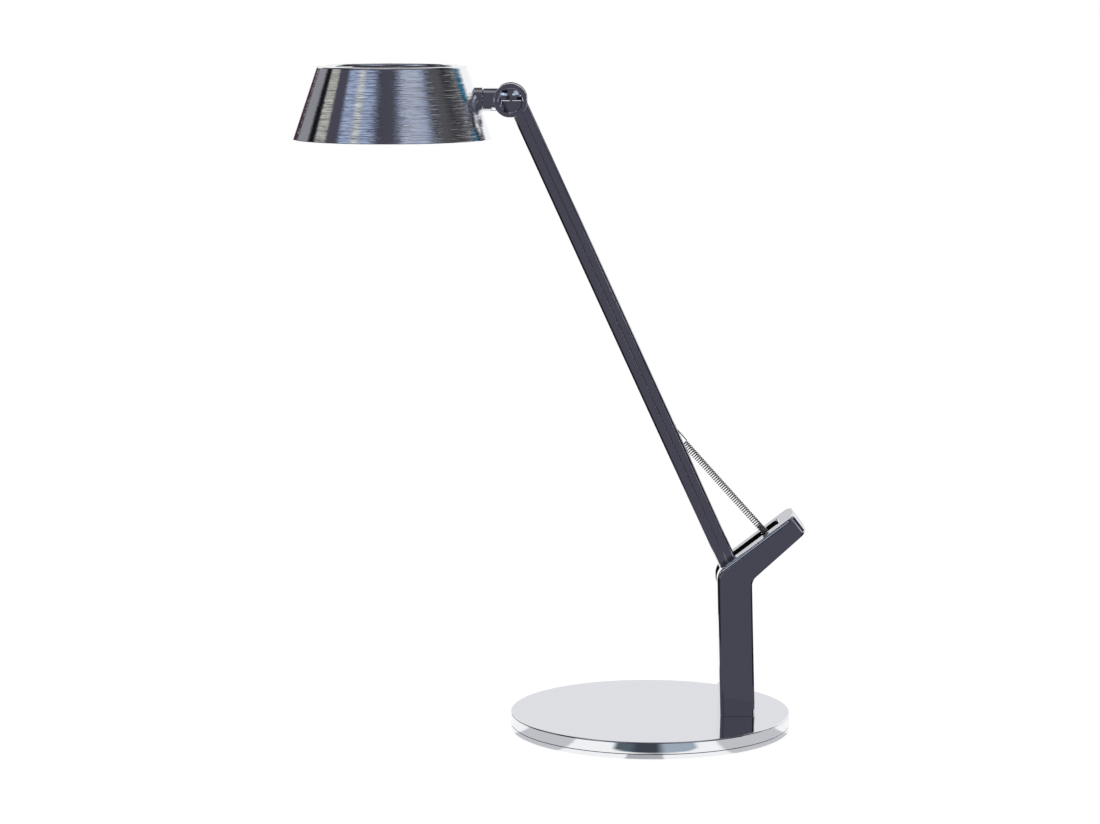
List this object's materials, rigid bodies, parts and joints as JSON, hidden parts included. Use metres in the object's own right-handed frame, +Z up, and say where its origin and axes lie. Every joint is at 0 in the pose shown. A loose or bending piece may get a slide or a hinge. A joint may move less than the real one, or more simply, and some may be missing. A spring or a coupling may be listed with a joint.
{
  "type": "led desk lamp",
  "caption": "Chrome desk lamp: round weighted base, slotted stem bracket, straight leaning arm balanced by a coil spring, and a tilting cone-shaped LED head.",
  "frame": {"origin": "centre of the foot pad's underside, where the lamp stands", "axes": "+Z up, -X from the base's centre towards the head, +X towards the bracket; the part is symmetrical about the XZ plane but for the pins' screw heads"},
  "size_m": [0.3264, 0.18, 0.4261],
  "materials": {
    "chrome_spun": "polished chrome on spun metal, with very fine turning lines",
    "chrome_cast": "polished chrome on a casting",
    "chrome_sheet": "polished chrome on drawn steel",
    "chrome_turned": "polished chrome on turned metal",
    "ring_chrome": "satin chrome",
    "ballast_iron": "bare casting, machined faces",
    "plate_steel": "bright zinc-plated steel",
    "pad_rubber": "matt black non-slip foam rubber",
    "screw_steel": "bright steel",
    "spring_steel": "nickel-plated spring wire",
    "zinc_cast": "die-cast, tumbled",
    "washer_plastic": "black low-friction plastic",
    "black_plastic": "black nylon",
    "sink_aluminium": "black anodised",
    "board_aluminium": "white solder resist on an aluminium board",
    "led_resin": "yellow phosphor under clear resin",
    "white_plastic": "white moulded reflector",
    "frosted_acrylic": "frosted opal acrylic"
  },
  "bodies": {
    "stand": {"base_cover": "chrome_spun", "ballast_disc": "ballast_iron", "base_plate": "plate_steel", "foot_pad": "pad_rubber", "base_screws": "screw_steel", "stem_screws": "screw_steel", "bracket": "chrome_cast", "inlet_bush": "black_plastic", "pivot_pin": "screw_steel", "pivot_washers": "washer_plastic", "spring_pin_lower": "screw_steel"},
    "arm": {"arm_front": "chrome_sheet", "arm_back": "chrome_sheet", "arm_foot": "zinc_cast", "arm_knuckle": "zinc_cast", "arm_screws": "screw_steel", "spring_pin_upper": "screw_steel"},
    "spring": {"balance_spring": "spring_steel"},
    "spring_end": {"spring_link": "spring_steel"},
    "neck": {"neck_yoke": "chrome_turned", "hinge_axle": "screw_steel", "hinge_caps": "chrome_turned", "hinge_washers": "washer_plastic", "swivel_tube": "screw_steel", "swivel_nut": "screw_steel", "swivel_washers": "spring_steel"},
    "head": {"shade_shell": "chrome_spun", "neck_boss": "chrome_turned", "heat_sink": "sink_aluminium", "led_board": "board_aluminium", "led_chips": "led_resin", "reflector": "white_plastic", "diffuser": "frosted_acrylic", "retaining_ring": "ring_chrome", "head_screws": "screw_steel"}
  },
  "joints": [
    {"name": "arm_pivot", "type": "hinge", "parent": "stand", "child": "arm", "pos_m": [0.0528, 0, 0.1013], "axis": [0, -1, 0], "range_deg": [-25, 40]},
    {"name": "spring_swing", "type": "hinge", "parent": "arm", "child": "spring", "pos_m": [0.01237, 0, 0.19585], "axis": [0, -1, 0], "range_deg": [-2, 2]},
    {"name": "spring_stretch", "type": "slide", "parent": "spring", "child": "spring_end", "axis": [0.6672, 0, -0.7448], "range_m": [-0.014, 0.022], "deforming": ["balance_spring"]},
    {"name": "head_tilt", "type": "hinge", "parent": "arm", "child": "neck", "pos_m": [-0.08965, 0, 0.40474], "axis": [0, -1, 0], "range_deg": [-60, 35]},
    {"name": "head_turn", "type": "hinge", "parent": "neck", "child": "head", "pos_m": [-0.10725, 0, 0.40474], "axis": [1, 0, 0], "range_deg": [-90, 90]}
  ],
  "couplings": [
    {"joint": "spring_swing", "follows": "arm_pivot", "ratio": -0.045},
    {"joint": "spring_stretch", "follows": "arm_pivot", "m_per_rad": 0.0311}
  ]
}
